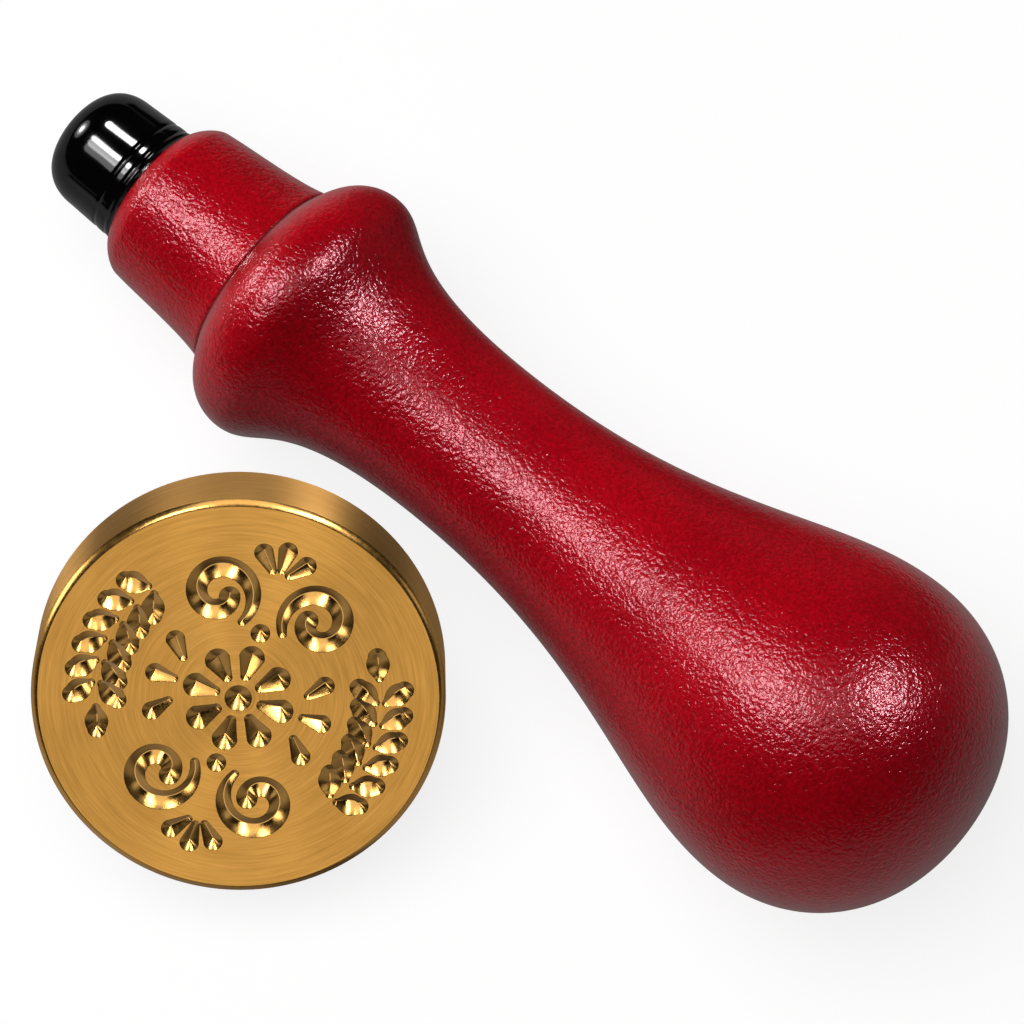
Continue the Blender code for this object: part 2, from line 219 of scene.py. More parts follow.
# Zinc-plated steel
ZINC_CLOUDS = (900.0, 4.0)
ZINC_COLOURS = ((0.5, 0.5, 0.49), (0.68, 0.68, 0.65))
ZINC_ROUGHNESS = (0.24, 0.38)
ZINC_RELIEF = 0.01 * MM

# Brass: tool lines across and along their run, and the finishes of the face, the cuts and the rim
LINES_PER_METRE = 9000.0
STROKES_PER_METRE = 260.0
SIDE_LINE_SHARE = 0.93
LINE_NOISE = (1.0, 3.0)
LINE_ROUGHNESS = 0.6
LINE_SHARE = 0.75
BRASS_CLOUDS = (160.0, 4.0)
TURNED_ROUGHNESS = (0.46, 0.38)
ACROSS = 0.25
FACE_COLOURS = ((0.69, 0.335, 0.065), (0.93, 0.475, 0.105))
FACE_SPREAD = 0.85
FACE_RELIEF = 0.006 * MM
RIM_COLOURS = ((0.66, 0.34, 0.09), (0.95, 0.53, 0.16))
RIM_SPREAD = 0.94
RIM_RELIEF = 0.005 * MM
CUT_CHATTER = (2600.0, 3.0)
CUT_CLOUDS = (400.0, 3.0)
CUT_COLOURS = ((0.74, 0.36, 0.075), (0.94, 0.54, 0.16))
CUT_ROUGHNESS = (0.2, 0.27)
CUT_RELIEF = 0.005 * MM
CUT_START = 0.005 * MM
FACE_FINISH, CUT_FINISH, RIM_FINISH = range(3)

# Camera: the photograph's angle, and the pixel where one place on the handle's axis lands
IMAGE_SIZE = 1024
SENSOR_WIDTH = 36.0
FOCAL_PIXELS = 6000.0
CAMERA_AZIMUTH = math.radians(40.3)
CAMERA_ELEVATION = math.radians(75.5)
CAMERA_DISTANCE = 0.440
AIM_STATION = 35.87 * MM
AIM_PIXEL = (521.0, 483.9)

# Floor: its colour, the light it bounces, its lift to white for the camera, and the dark room above it
FLOOR_SIZE = 20.0
FLOOR_DROP = 0.05 * MM
FLOOR_COLOUR = 0.24
FLOOR_BOUNCE = 0.9
FLOOR_REACH = (0.12, 0.9)
FLOOR_LIFT = (0.84, 1.0)
ROOM_LIGHT = 0.015

# Floor in gloss, a painted reflection: dark, but for a pale strip along the handle and a pale patch in front
# of the head
STRIP_EDGE = (12.0 * MM, 21.0 * MM)
STRIP_WAIST = -12.0 * MM
STRIP_FLARE = 16.0
STRIP_SHADE = (0.2, 0.004)
PATCH_PLACE = (-30.0 * MM, -50.0 * MM, 0.0)
PATCH_EDGE = (28.0 * MM, 60.0 * MM)
PATCH_SHADE = (0.28, 0.0)
# Painted glow: light that only glossy rays see on the floor, a little everywhere and more on its pale places
GLOSS_LIFT = 0.004
GLOSS_GLOW = 0.5

# Lights: which pieces each one lights, and whether their matt and their glossy rays see it
FLOOR_RIG = ("floor",)
HANDLE_RIG = ("handle_body", "stud_rod")
CAP_RIG = ("cap_shell",)
HEAD_RIG = ("head_body",)
BOTH = (True, True)
MATT = (True, False)
GLOSS = (False, True)
LIGHT_DISTANCE = 0.6
OVAL_SHARE = 0.25 * math.pi

# Softboxes: name, direction from the part, size along and across, radiance, pieces lit, rays that see it
SOFTBOXES = (
    ("floor_box", (-0.25, -0.15, 0.95), (0.6, 0.6), 3.3, FLOOR_RIG, MATT),
    ("left_box", (-0.75, 0.43, 0.5), (0.5, 0.5), 3.2, HANDLE_RIG, MATT),
    ("left_low", (-0.88, -0.3, 0.26), (0.4, 0.3), 5.4, HANDLE_RIG, MATT),
    ("front_box", (0.0, -0.71, 0.71), (0.4, 0.4), 1.6, HANDLE_RIG, MATT),
    ("back_box", (-0.43, 0.75, 0.5), (0.4, 0.4), 1.35, HANDLE_RIG, MATT),
    ("right_box", (0.84, 0.2, 0.4), (0.4, 0.3), 0.3, HANDLE_RIG, MATT),
    ("upper_box", (-0.1, 0.0, 0.99), (0.4, 0.4), 2.2, HANDLE_RIG, MATT),
    ("key_box", (-0.47, -0.2, 0.86), (0.38, 0.19), 15.5, HANDLE_RIG, GLOSS),
    ("far_box", (0.33, 0.48, 0.81), (0.18, 0.16), 37.0, HANDLE_RIG, GLOSS),
    ("top_box", (0.02, 0.0, 1.0), (0.36, 0.3), 1.5, HANDLE_RIG, GLOSS),
    ("low_box", (-0.96, -0.1, 0.25), (0.15, 0.15), 19.0, HANDLE_RIG, GLOSS),
    ("cap_core", (-0.462, -0.086, 0.883), (0.16, 0.09), 30.0, CAP_RIG, GLOSS),
    ("cap_skirt", (-0.462, -0.235, 0.855), (0.16, 0.13), 10.0, CAP_RIG, GLOSS),
    ("cap_hem", (-0.462, -0.38, 0.8), (0.16, 0.16), 3.0, CAP_RIG, GLOSS),
    ("cap_line", (-0.42, 0.478, 0.771), (0.127, 0.13), 34.0, CAP_RIG, GLOSS),
    ("cap_spot", (-0.93, -0.01, 0.365), (0.1, 0.1), 30.0, CAP_RIG, GLOSS),
    ("cap_halo", (-0.93, -0.01, 0.365), (0.18, 0.18), 6.0, CAP_RIG, GLOSS),
    ("cap_glow", (-0.93, -0.01, 0.365), (0.28, 0.28), 1.5, CAP_RIG, GLOSS),
    ("face_panel", (0.51, -0.56, 0.65), (1.0, 0.85), 0.86, HEAD_RIG, BOTH),
    ("head_key", (-0.5, 0.05, 0.86), (0.12, 0.2), 12.0, HEAD_RIG, BOTH),
    ("head_back", (0.0, 0.65, 0.76), (0.12, 0.3), 16.0, HEAD_RIG, BOTH),
    ("head_wide", (-0.42, 0.55, 0.72), (0.5, 0.4), 1.2, HEAD_RIG, BOTH),
    ("head_left", (-0.86, -0.45, 0.22), (0.3, 0.2), 4.0, HEAD_RIG, BOTH),
    ("head_right", (0.66, 0.7, 0.27), (0.2, 0.2), 0.6, HEAD_RIG, BOTH),
)


def bezier(start, start_pull, end_pull, end, steps):
    """Points of a cubic curve from start to end, without the start itself."""
    points = []
    for step in range(1, steps + 1):
        t = step / steps
        u = 1.0 - t
        weights = (u ** 3, 3 * u * u * t, 3 * u * t * t, t ** 3)
        corners = (start, start_pull, end_pull, end)
        points.append(tuple(sum(w * corner[k] for w, corner in zip(weights, corners)) for k in (0, 1)))
    return points


def along_side(point, slope, reach):
    """A (radius, station) point reached from another along a side that gains radius at a slope."""
    return (point[0] + slope * reach, point[1] + reach)


def span(start, end, step):
    """Evenly spaced values from start to end, both included, about one step apart."""
    count = max(1, round(abs(end - start) / step))
    return [start + (end - start) * index / count for index in range(count + 1)]


def lathe(name, profile, segments, radius_at=None):
    """A mesh spun round Z from (radius, height) points.

    A zero radius makes a pole, and an open end is closed by a flat face. radius_at(radius, angle, height)
    can change the radius from place to place.
    """
    vertices = []
    rings = []
    for radius, height in profile:
        count = segments if radius > 0.0 else 1
        rings.append(list(range(len(vertices), len(vertices) + count)))
        for step in range(count):
            angle = math.tau * step / segments
            reach = radius_at(radius, angle, height) if radius_at and radius > 0.0 else radius
            vertices.append((reach * math.cos(angle), reach * math.sin(angle), height))
    faces = []
    for lower, upper in zip(rings, rings[1:]):
        for step in range(segments):
            ahead = (step + 1) % segments
            corners = [
                lower[step % len(lower)],
                lower[ahead % len(lower)],
                upper[ahead % len(upper)],
                upper[step % len(upper)],
            ]
            faces.append(list(dict.fromkeys(corners)))
    faces += [ring for ring in (rings[0], rings[-1]) if len(ring) > 1]
    mesh = bpy.data.meshes.new(name)
    mesh.from_pydata(vertices, [], faces)
    face_out(mesh)
    return mesh


def face_out(mesh):
    """Point the faces of a closed mesh outwards."""
    bm = bmesh.new()
    bm.from_mesh(mesh)
    bmesh.ops.recalc_face_normals(bm, faces=bm.faces)
    bm.to_mesh(mesh)
    bm.free()


def fit_box(mesh, low, high):
    """Stretch a mesh by the few microns that bring its box onto the box of its solid."""
    ends = [(min(v.co[k] for v in mesh.vertices), max(v.co[k] for v in mesh.vertices)) for k in range(3)]
    for vertex in mesh.vertices:
        for k, (least, most) in enumerate(ends):
            share = (vertex.co[k] - least) / (most - least)
            vertex.co[k] = low[k] + (high[k] - low[k]) * share


def place(name, mesh, matrix, materials, body, node):
    """A visible piece: shaded, moved to its place, riding on its body and standing for its solid."""
    mesh.shade_smooth()
    mesh.set_sharp_from_angle(angle=SHARP_EDGE)
    for polygon in mesh.polygons:
        polygon.use_smooth = abs(polygon.normal.z) < FLAT_NORMAL
    mesh.transform(matrix)
    fit_box(mesh, *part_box(node))
    piece = bpy.data.objects.new(name, mesh)
    bpy.context.scene.collection.objects.link(piece)
    for material in materials:
        mesh.materials.append(material)
    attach(piece, body)
    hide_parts(node)
    return piece


def handle_outline():
    """(radius, station) points of the handle's outside, from the neck face to the bulb end."""
    neck_front = (NECK_FRONT_RADIUS, NECK_ROUND_END)
    neck_back = (NECK_BACK_RADIUS, GROOVE_STATION)
    shoulder = (NECK_BACK_RADIUS, GROOVE_STATION + GROOVE_WIDTH)
    groove_floor = (NECK_BACK_RADIUS - GROOVE_DEPTH, GROOVE_STATION + 0.5 * GROOVE_WIDTH)
    points = [(NECK_FACE_RADIUS, 0.0)]
    points += bezier(
        points[0],
        (NECK_FACE_RADIUS + NECK_CORNER_PULLS[0], 0.0),
        along_side(neck_front, NECK_FRONT_SLOPE, -NECK_CORNER_PULLS[1]),
        neck_front,
        NECK_CORNER_STEPS,
    )
    points += bezier(
        neck_front,
        along_side(neck_front, NECK_FRONT_SLOPE, NECK_PULLS[0]),
        along_side(neck_back, NECK_BACK_SLOPE, -NECK_PULLS[1]),
        neck_back,
        NECK_STEPS,
    )
    groove_entry = along_side(neck_back, NECK_BACK_SLOPE, GROOVE_ROUNDS[0])
    groove_exit = along_side(shoulder, 0.0, -GROOVE_ROUNDS[1])
    points += bezier(neck_back, groove_entry, groove_floor, groove_floor, GROOVE_STEPS)
    points += bezier(groove_floor, groove_floor, groove_exit, shoulder, GROOVE_STEPS)
    points += bezier(
        shoulder,
        (shoulder[0] + SHOULDER_RISE, shoulder[1] + SHOULDER_RUN),
        (COLLAR_RADIUS, COLLAR_STATION - SHOULDER_END_PULL),
        (COLLAR_RADIUS, COLLAR_STATION),
        SHOULDER_STEPS,
    )
    points += bezier(
        (COLLAR_RADIUS, COLLAR_STATION),
        (COLLAR_RADIUS, COLLAR_STATION + COLLAR_PULLS[0]),
        (WAIST_RADIUS, WAIST_STATION - COLLAR_PULLS[1]),
        (WAIST_RADIUS, WAIST_STATION),
        COLLAR_STEPS,
    )
    points += bezier(
        (WAIST_RADIUS, WAIST_STATION),
        (WAIST_RADIUS, WAIST_STATION + WAIST_PULLS[0]),
        (BULB_RADIUS, BULB_STATION - WAIST_PULLS[1]),
        (BULB_RADIUS, BULB_STATION),
        WAIST_STEPS,
    )
    points += bezier(
        (BULB_RADIUS, BULB_STATION),
        (BULB_RADIUS, BULB_STATION + BULB_END_PULLS[0]),
        (BULB_END_PULLS[1], HANDLE_LENGTH),
        (0.0, HANDLE_LENGTH),
        BULB_END_STEPS,
    )
    return points


def handle_matrix():
    """The handle's axis, from the neck face to the bulb, leaning so that collar and bulb touch the table."""
    lean = math.asin((BULB_RADIUS - COLLAR_RADIUS) / (BULB_STATION - COLLAR_STATION))
    height = max(radius * math.cos(lean) - station * math.sin(lean) for radius, station in handle_outline())
    return Matrix.Translation((NECK_X, HANDLE_Y, height)) @ Matrix.Rotation(0.5 * math.pi - lean, 4, "Y")


def head_matrix():
    """The head's axis, from the middle of its face, with the rims of disc and boss on the table."""
    rim = DISC_RADIUS - DISC_CHAMFER
    lean = math.atan(BOSS_HEIGHT / (rim - BOSS_RADIUS + BOSS_CHAMFER))
    height = DISC_THICKNESS * math.cos(lean) + rim * math.sin(lean)
    turn = Matrix.Rotation(HEAD_TURN, 4, "Z") @ Matrix.Rotation(lean, 4, "Y")
    return Matrix.Translation((HEAD_X, HEAD_Y, height)) @ turn


def handle_mesh():
    """The turned handle with the hole for its stud."""
    bore = [(0.0, STUD_HOLE_DEPTH)]
    bore += [(STUD_HOLE_RADIUS, station) for station in span(STUD_HOLE_DEPTH, 0.0, STUD_HOLE_GAP)]
    return lathe("handle_body", bore + handle_outline(), HANDLE_SEGMENTS)


def thread_height(turn):
    """Height of a thread from root 0 to crest 1 at a place counted in turns."""
    away = abs(2.0 * (turn % 1.0) - 1.0)
    return min(1.0, max(0.0, (away - THREAD_ROOT) / (1.0 - THREAD_ROOT - THREAD_CREST)))


def stud_radius(radius, angle, station):
    """Radius of the stud with its machine thread outside and its wood thread inside the handle."""
    turn = angle / math.tau
    if station < MACHINE_THREAD_END:
        cut = MACHINE_THREAD_DEPTH * (1.0 - thread_height(station / MACHINE_PITCH - turn))
    elif station < WOOD_THREAD_START:
        cut = 0.0
    else:
        cut = WOOD_THREAD_DEPTH * (1.0 - thread_height(station / WOOD_PITCH - turn))
    return max(0.5 * STUD_POINT_RADIUS, radius - cut)


def stud_mesh():
    """The hanger bolt, with both of its threads."""
    tip = STUD_RADIUS - STUD_CHAMFER
    profile = [(0.0, -STUD_FREE_LENGTH)]
    for station in span(-STUD_FREE_LENGTH, STUD_DEPTH, STUD_GAP):
        chamfer = tip + (station + STUD_FREE_LENGTH)
        taper = STUD_RADIUS
        if station > TAPER_START:
            share = (station - TAPER_START) / (STUD_DEPTH - TAPER_START)
            taper += (STUD_POINT_RADIUS - STUD_RADIUS) * share
        profile.append((min(chamfer, taper), station))
    profile.append((0.0, STUD_DEPTH))
    return lathe("stud_rod", profile, STUD_SEGMENTS, stud_radius)


def cap_side(distance):
    """Radius of the cap's side at a distance from the neck face, flared and creased."""
    share = (CAP_DOME_START - distance) / (CAP_DOME_START - CAP_FACE_GAP)
    radius = CAP_DOME_RADIUS + (CAP_MOUTH_RADIUS - CAP_DOME_RADIUS) * share
    for crease in CAP_CREASES:
        radius -= CAP_CREASE_DEPTH * math.exp(-(2.0 * (distance - crease) / CAP_CREASE_WIDTH) ** 2)
    return radius


def cap_mesh():
    """The soft cap: domed and creased outside, with a rolled lip and a bore for the stud."""
    profile = [(0.0, -CAP_LENGTH)]
    profile += bezier(
        (0.0, -CAP_LENGTH),
        (CAP_DOME_PULLS[0], -CAP_LENGTH),
        (CAP_DOME_RADIUS, -CAP_DOME_START - CAP_DOME_PULLS[1]),
        (CAP_DOME_RADIUS, -CAP_DOME_START),
        DOME_STEPS,
    )
    lip_start = CAP_FACE_GAP + CAP_LIP_ROUND
    side = span(CAP_DOME_START, lip_start, CAP_SIDE_GAP)[1:]
    profile += [(cap_side(distance), -distance) for distance in side]
    for turn in span(0.0, 0.5 * math.pi, CAP_LIP_GAP)[1:]:
        reach = CAP_MOUTH_RADIUS - CAP_LIP_ROUND * (1.0 - math.cos(turn))
        profile.append((reach, -lip_start + CAP_LIP_ROUND * math.sin(turn)))
    bore = span(CAP_FACE_GAP, CAP_BORE_DEPTH, CAP_BORE_GAP)
    profile += [(CAP_BORE_RADIUS, -distance) for distance in bore]
    profile.append((0.0, -CAP_BORE_DEPTH))
    return lathe("cap_shell", profile, CAP_SEGMENTS)


def add_ring_faces(bm, lower, upper):
    """Join two rings of as many vertices with a band of faces."""
    count = len(lower)
    for index in range(count):
        ahead = (index + 1) % count
        bm.faces.new((lower[index], lower[ahead], upper[ahead], upper[index]))


def groove_levels(half):
    """(distance from the path, height) of a groove's floor, lip and top, for a half width on the face."""
    lip = half - GROOVE_LIP
    return (
        (GROOVE_FLOOR, -GROOVE_SLOPE * (lip - GROOVE_FLOOR) - 0.5 * GROOVE_LIP),
        (lip, -0.5 * GROOVE_LIP),
        (half + 2.0 * CUTTER_LIFT, CUTTER_LIFT),
    )


def add_groove(bm, path, half_widths):
    """Add one closed V-shaped cutter along a path on the face, with both ends rounded."""
    last = len(path) - 1
    headings = []
    for index in range(last + 1):
        ahead = path[min(index + 1, last)] - path[max(index - 1, 0)]
        headings.append(math.atan2(ahead.y, ahead.x))
    quarter = 0.5 * math.pi
    turns = [math.pi * step / GROOVE_END_STEPS - quarter for step in range(1, GROOVE_END_STEPS)]
    right = [(index, headings[index] - quarter) for index in range(last + 1)]
    tip = [(last, headings[last] + turn) for turn in turns]
    left = [(index, headings[index] + quarter) for index in range(last, -1, -1)]
    tail = [(0, headings[0] + math.pi + turn) for turn in turns]
    rings = ([], [], [])
    for index, angle in right + tip + left + tail:
        for ring, (reach, height) in zip(rings, groove_levels(half_widths[index])):
            point = path[index] + heading(angle) * reach
            ring.append(bm.verts.new((point.x, point.y, height)))
    for lower, upper in zip(rings, rings[1:]):
        add_ring_faces(bm, lower, upper)
    first_left = last + 1 + len(tip)
    for ring in (rings[0], rings[-1]):
        for index in range(last):
            across = first_left + last - index
            bm.faces.new((ring[index], ring[index + 1], ring[across - 1], ring[across]))
        bm.faces.new(ring[last:first_left + 1])
        bm.faces.new(ring[first_left + last:] + ring[:1])


def add_dot(bm, centre, radius):
    """Add one closed conical cutter, as a drill point leaves it."""
    rings = ([], [], [])
    for step in range(DOT_STEPS):
        for ring, (reach, height) in zip(rings, groove_levels(radius)):
            point = centre + heading(math.tau * step / DOT_STEPS) * reach
            ring.append(bm.verts.new((point.x, point.y, height)))
    for lower, upper in zip(rings, rings[1:]):
        add_ring_faces(bm, lower, upper)
    bm.faces.new(rings[0])
    bm.faces.new(rings[-1])


def heading(angle):
    """Unit vector on the face at an angle from the face's own X."""
    return Vector((math.cos(angle), math.sin(angle)))


def add_leaf(bm, stem, along):
    """Add one oval leaf that leaves a stem in a direction; its width follows part of a sine wave."""
    path = []
    half_widths = []
    for step in range(LEAF_STEPS + 1):
        share = step / LEAF_STEPS
        path.append(stem + along * (LEAF_SPAN[0] + (LEAF_SPAN[1] - LEAF_SPAN[0]) * share))
        phase = LEAF_SWELL[0] + (LEAF_SWELL[1] - LEAF_SWELL[0]) * share
        half_widths.append(LEAF_HALF_WIDTH * math.sin(math.pi * phase))
    add_groove(bm, path, half_widths)


def engrave_sprig(bm, start):
    """Pairs of leaves along an arc, closed by one leaf at the growing end."""
    for pair in range(SPRIG_PAIRS + 1):
        place_angle = math.radians(start + PAIR_STEP * pair)
        spreads = (LEAF_SPREAD, -LEAF_SPREAD) if pair < SPRIG_PAIRS else (0.0,)
        for spread in spreads:
            along = heading(place_angle + 0.5 * math.pi + spread)
            add_leaf(bm, SPRIG_RADIUS * heading(place_angle), along)


def fleuron_point(across, along):
    """A place on the face from its distances across and along the fleuron's axis."""
    return Matrix.Rotation(FLEURON_LEAN, 2) @ Vector((across, along))


def volute(side, end):
    """The path and the half widths of one volute, mirrored to its side and its end of the fleuron."""
    path = []
    widths = []
    for step in range(VOLUTE_STEPS + 1):
        share = step / VOLUTE_STEPS
        angle = VOLUTE_START - math.tau * VOLUTE_TURNS * share
        radius = VOLUTE_RADII[0] + (VOLUTE_RADII[1] - VOLUTE_RADII[0]) * share
        across = VOLUTE_CENTRE[0] + radius * math.cos(angle)
        along = VOLUTE_CENTRE[1] + radius * math.sin(angle)
        path.append(fleuron_point(side * across, end * along))
        swell = math.sin(0.5 * math.pi * min(1.0, share / VOLUTE_SWELL_SHARE))
        widths.append(VOLUTE_WIDTHS[0] + (VOLUTE_WIDTHS[1] - VOLUTE_WIDTHS[0]) * swell)
    return path, widths


def engrave_fleuron(bm):
    """A rosette with volutes, palmettes, drops and dots, alike on both sides of both axes."""
    add_dot(bm, fleuron_point(0.0, 0.0), ROSETTE_EYE)
    for petal in range(ROSETTE_PETALS):
        angle = math.tau * petal / ROSETTE_PETALS
        path = [fleuron_point(reach * math.cos(angle), reach * math.sin(angle)) for reach in PETAL_SPAN]
        add_groove(bm, path, PETAL_WIDTHS)
    for side in (-1, 1):
        add_groove(bm, [fleuron_point(side * reach, 0.0) for reach in SIDE_DROP_SPAN], DROP_WIDTHS)
        for end in (-1, 1):
            add_groove(bm, *volute(side, end))
            corner = [fleuron_point(side * across, end * along) for across, along in CORNER_DROP]
            add_groove(bm, corner, DROP_WIDTHS)
    for end in (-1, 1):
        add_dot(bm, fleuron_point(0.0, end * STEM_DOT_PLACE), STEM_DOT)
        for spread in PALMETTE_SPREADS:
            across = math.sin(math.radians(spread))
            along = math.cos(math.radians(spread))
            path = []
            for reach in PALMETTE_SPAN:
                path.append(fleuron_point(reach * across, end * (PALMETTE_BASE + reach * along)))
            add_groove(bm, path, DROP_WIDTHS)


def engraving_cutter():
    """Every groove of the stamping face as closed cutters in one object."""
    bm = bmesh.new()
    for start in SPRIG_STARTS:
        engrave_sprig(bm, start)
    engrave_fleuron(bm)
    bmesh.ops.recalc_face_normals(bm, faces=bm.faces)
    bm.transform(Matrix.Rotation(FACE_TURN, 4, "Z"))
    mesh = bpy.data.meshes.new("engraving_cutter")
    bm.to_mesh(mesh)
    bm.free()
    cutter = bpy.data.objects.new("engraving_cutter", mesh)
    bpy.context.scene.collection.objects.link(cutter)
    return cutter


def engraved(blank):
    """A copy of the head's mesh with the grooves cut into its face, and a finish for each of its faces."""
    head = bpy.data.objects.new("head_blank", blank)
    bpy.context.scene.collection.objects.link(head)
    cutter = engraving_cutter()
    cut = head.modifiers.new("engraving", "BOOLEAN")
    cut.operation = "DIFFERENCE"
    cut.use_self = True
    cut.object = cutter
    evaluated = head.evaluated_get(bpy.context.evaluated_depsgraph_get())
    mesh = bpy.data.meshes.new_from_object(evaluated)
    for spare in (head, cutter):
        spare_mesh = spare.data
        bpy.data.objects.remove(spare, do_unlink=True)
        bpy.data.meshes.remove(spare_mesh)
    mesh.name = "head_body"
    for polygon in mesh.polygons:
        polygon.material_index = brass_index(polygon.center)
    return mesh


def brass_index(place_on_head):
    """Number of the brass finish at a place on the head; the front chamfer is cut as the grooves are."""
    below = -place_on_head.z
    away = place_on_head.xy.length
    land = DISC_RADIUS - 2.0 * DISC_CHAMFER
    in_groove = away < land and CUT_START < below < GROOVE_REACH
    on_chamfer = away > land and CUT_START < below < DISC_CHAMFER
    on_side = away > BOSS_RADIUS and DISC_CHAMFER < below < DISC_THICKNESS - DISC_CHAMFER
    if in_groove or on_chamfer:
        return CUT_FINISH
    return RIM_FINISH if on_side else FACE_FINISH


def tap_radius(radius, angle, height):
    """Radius of the head's surfaces, with the tapped hole's thread cut into the plain bore."""
    start = -DISC_THICKNESS - BOSS_HEIGHT + TAP_CHAMFER
    end = -DISC_THICKNESS - BOSS_HEIGHT + TAP_DEPTH
    if radius > TAP_RADIUS or not start < height < end:
        return radius
    return radius - TAP_THREAD_DEPTH * thread_height(height / MACHINE_PITCH - angle / math.tau)


def head_mesh():
    """The brass turning with its tapped hole and its engraved face, which lies at local z = 0."""
    boss_end = -DISC_THICKNESS - BOSS_HEIGHT
    tap_end = boss_end + TAP_DEPTH
    rim = DISC_RADIUS - DISC_CHAMFER
    back_chamfer = DISC_CHAMFER - DISC_THICKNESS
    profile = [
        (rim - EDGE_BREAK, 0.0),
        (rim + EDGE_BREAK_IN, -EDGE_BREAK_IN),
        (DISC_RADIUS - EDGE_BREAK_OUT, -DISC_CHAMFER + EDGE_BREAK_OUT),
        (DISC_RADIUS, -DISC_CHAMFER - EDGE_BREAK),
        (DISC_RADIUS, back_chamfer + EDGE_BREAK),
        (DISC_RADIUS - EDGE_BREAK_OUT, back_chamfer - EDGE_BREAK_OUT),
        (rim, -DISC_THICKNESS),
        (BOSS_RADIUS, -DISC_THICKNESS),
        (BOSS_RADIUS, boss_end + BOSS_CHAMFER),
        (BOSS_RADIUS - BOSS_CHAMFER, boss_end),
        (TAP_RADIUS + TAP_CHAMFER, boss_end),
    ]
    profile += [(TAP_RADIUS, height) for height in span(boss_end + TAP_CHAMFER, tap_end, TAP_GAP)]
    profile.append((0.0, tap_end + TAP_CONE))
    return engraved(lathe("head_body", profile, HEAD_SEGMENTS, tap_radius))


def set_inputs(tree, node, inputs):
    """Set or link a node's inputs by name or number."""
    for key, value in inputs.items():
        if isinstance(value, bpy.types.NodeSocket):
            tree.links.new(value, node.inputs[key])
        else:
            node.inputs[key].default_value = value


def add_node(tree, kind, inputs=None, **settings):
    """Add a node, set its properties, and set or link its inputs."""
    new = tree.nodes.new(kind)
    for name, value in settings.items():
        setattr(new, name, value)
    set_inputs(tree, new, inputs or {})
    return new


def math_node(tree, operation, *values):
    """The result of one maths operation on numbers or sockets."""
    return add_node(tree, "ShaderNodeMath", dict(enumerate(values)), operation=operation).outputs[0]


def vector_node(tree, operation, *values, output="Vector"):
    """The result of one operation on vectors or sockets."""
    node = add_node(tree, "ShaderNodeVectorMath", dict(enumerate(values)), operation=operation)
    return node.outputs[output]


def blend(tree, first, second, share):
    """A share of one value and the rest of another."""
    rest = math_node(tree, "MULTIPLY", second, 1.0 - share)
    return math_node(tree, "MULTIPLY_ADD", first, share, rest)


def noise_value(tree, coordinates, scale, detail, **inputs):
    """A noise texture's value at a scale in features per metre."""
    settings = {"Vector": coordinates, "Scale": scale, "Detail": detail, **inputs}
    return add_node(tree, "ShaderNodeTexNoise", settings).outputs[0]


def remap(tree, value, from_range, to_range):
    """A value moved from one range to another and kept inside it."""
    numbers = dict(enumerate((value, *from_range, *to_range)))
    return add_node(tree, "ShaderNodeMapRange", numbers).outputs[0]


def mixed_colour(tree, share, first, second):
    """A colour between two others by a share."""
    mix = add_node(tree, "ShaderNodeMix", {0: share, 6: (*first, 1.0), 7: (*second, 1.0)}, data_type="RGBA")
    return mix.outputs[2]


def bump(tree, height, depth):
    """A normal shaped by a height from 0 to 1, to a depth in metres."""
    inputs = {"Strength": 1.0, "Distance": depth, "Height": height}
    return add_node(tree, "ShaderNodeBump", inputs).outputs[0]


def new_material(name):
    """An empty material: its node tree, its Principled shader and its object coordinates."""
    material = bpy.data.materials.new(name)
    material.use_nodes = True
    tree = material.node_tree
    shader = tree.nodes["Principled BSDF"]
    coordinates = add_node(tree, "ShaderNodeTexCoord").outputs["Object"]
    return material, tree, shader, coordinates


def lacquer_material():
    """Deep red lacquer under a clear coat with a fine, strong orange-peel skin."""
    material, tree, shader, coordinates = new_material("red_lacquer_peel")
    clouds = noise_value(tree, coordinates, *LACQUER_CLOUDS)
    peel = noise_value(tree, coordinates, *LACQUER_PEEL, Distortion=LACQUER_PEEL_TWIST)
    swell = noise_value(tree, coordinates, *LACQUER_SWELL)
    depth = remap(tree, blend(tree, peel, clouds, LACQUER_PEEL_SHARE), LACQUER_DEPTHS, FULL_RANGE)
    height = math_node(tree, "MULTIPLY_ADD", swell, LACQUER_SWELL_SHARE, peel)
    set_inputs(tree, shader, {
        "Base Color": mixed_colour(tree, depth, *LACQUER_COLOURS),
        "Roughness": remap(tree, clouds, NOISE_RANGE, LACQUER_ROUGHNESS),
        "Normal": bump(tree, height, LACQUER_RELIEF),
        "IOR": LACQUER_IOR,
        "Specular Tint": LACQUER_TINT,
        "Coat Weight": COAT_WEIGHT,
        "Coat Roughness": COAT_ROUGHNESS,
        "Coat IOR": LACQUER_IOR,
        "Coat Normal": bump(tree, height, COAT_RELIEF),
    })
    return material


def vinyl_material():
    """Glossy black vinyl, slightly wavy, with faint smudges in its gloss."""
    material, tree, shader, coordinates = new_material("black_vinyl_gloss")
    smudge = noise_value(tree, coordinates, *VINYL_SMUDGE)
    wave = noise_value(tree, coordinates, *VINYL_WAVE)
    set_inputs(tree, shader, {
        "Base Color": mixed_colour(tree, smudge, *VINYL_COLOURS),
        "Roughness": remap(tree, smudge, VINYL_SMUDGE_RANGE, VINYL_ROUGHNESS),
        "Normal": bump(tree, wave, VINYL_RELIEF),
        "IOR": VINYL_IOR,
    })
    return material


def zinc_material():
    """Zinc-plated steel with a slightly cloudy plating."""
    material, tree, shader, coordinates = new_material("zinc_steel_plating")
    clouds = noise_value(tree, coordinates, *ZINC_CLOUDS)
    set_inputs(tree, shader, {
        "Base Color": mixed_colour(tree, clouds, *ZINC_COLOURS),
        "Roughness": remap(tree, clouds, NOISE_RANGE, ZINC_ROUGHNESS),
        "Normal": bump(tree, clouds, ZINC_RELIEF),
        "Metallic": 1.0,
    })
    return material


